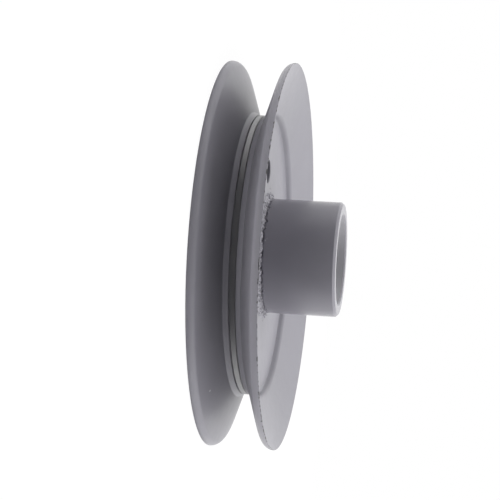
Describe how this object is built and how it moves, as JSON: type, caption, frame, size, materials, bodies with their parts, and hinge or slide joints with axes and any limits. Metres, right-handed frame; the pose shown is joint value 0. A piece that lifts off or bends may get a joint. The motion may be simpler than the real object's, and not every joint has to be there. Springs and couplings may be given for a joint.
{
  "type": "v-belt pulley",
  "caption": "Grey painted pressed-sheet V-belt pulley: joggled flanges with a flat disc between them, welded round a plain tube hub with a through bore.",
  "frame": {"origin": "on the bore's axis, in the plane on which the rear flange's rim stands", "axes": "+Z along the bore towards the hub's nose, +X through one of the web holes"},
  "size_m": [0.15, 0.15, 0.0459],
  "materials": {
    "sheet_paint": "satin",
    "hub_paint": "satin",
    "weld_paint": "satin"
  },
  "bodies": {
    "root": {"hub_tube": "hub_paint", "centre_disc": "sheet_paint", "front_flange": "sheet_paint", "rear_flange": "sheet_paint", "front_weld": "weld_paint", "rear_weld": "weld_paint"}
  },
  "joints": []
}
